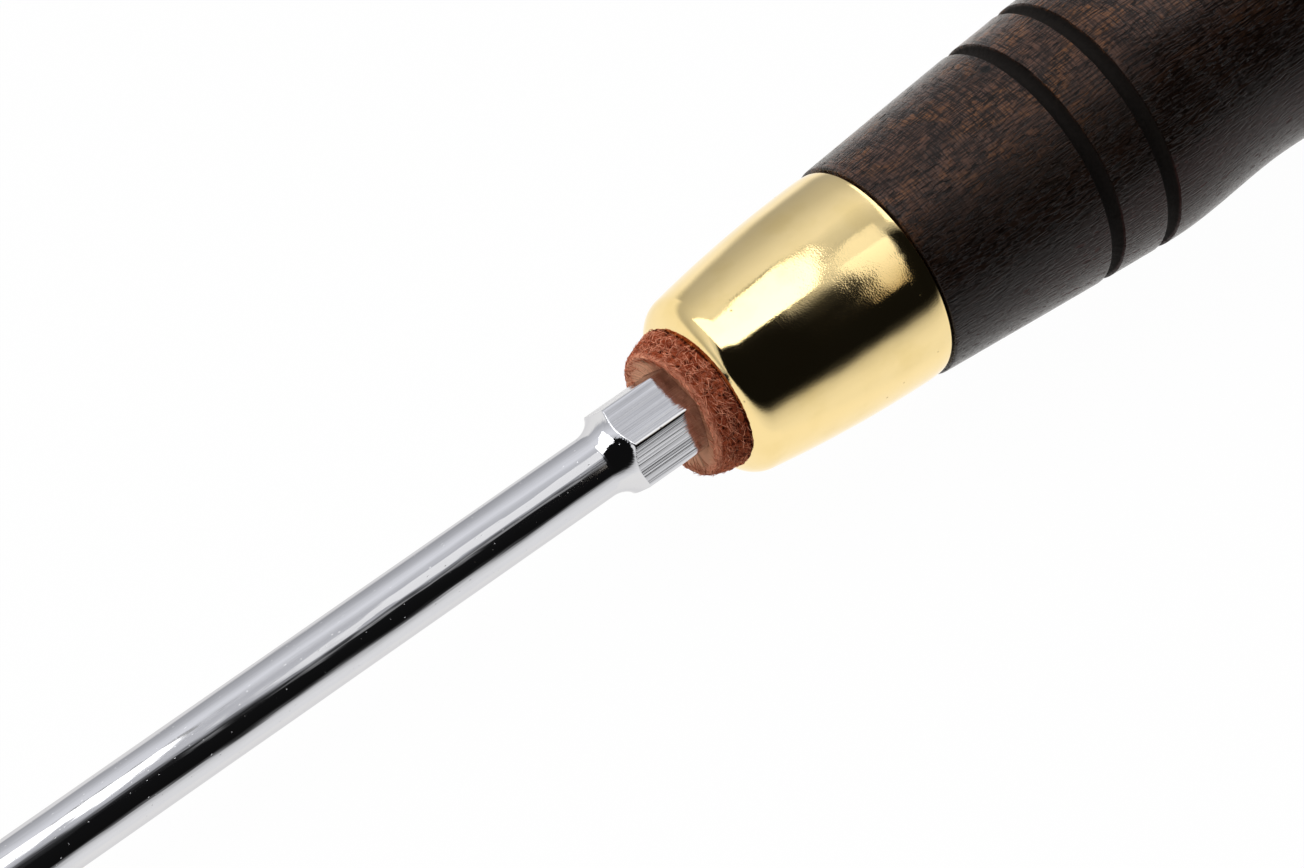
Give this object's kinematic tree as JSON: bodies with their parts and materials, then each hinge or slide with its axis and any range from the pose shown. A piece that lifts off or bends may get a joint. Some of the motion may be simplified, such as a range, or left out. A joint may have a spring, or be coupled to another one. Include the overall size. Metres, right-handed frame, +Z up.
{
  "type": "flathead screwdriver",
  "caption": "Slotted screwdriver with a round chromed blade, hexagonal bolster, leather washer, brass ferrule and turned wooden handle.",
  "frame": {"origin": "centre of the flat end face of the blade's tip, on the tool's axis", "axes": "+X along the tool's axis from the tip to the butt, +Z up and square to the flats of the tip, +Y across the tip's width"},
  "size_m": [0.264, 0.03, 0.03],
  "materials": {
    "chromed_steel": "polished chrome plate, fine axial grinding marks on the hexagon",
    "leather": "raw fibrous cut leather, reddish brown",
    "polished_brass": "polished brass",
    "stained_wood": "dark brown stain with a satin finish"
  },
  "bodies": {
    "root": {"blade": "chromed_steel", "leather_washer": "leather", "ferrule": "polished_brass", "handle": "stained_wood"}
  },
  "joints": []
}
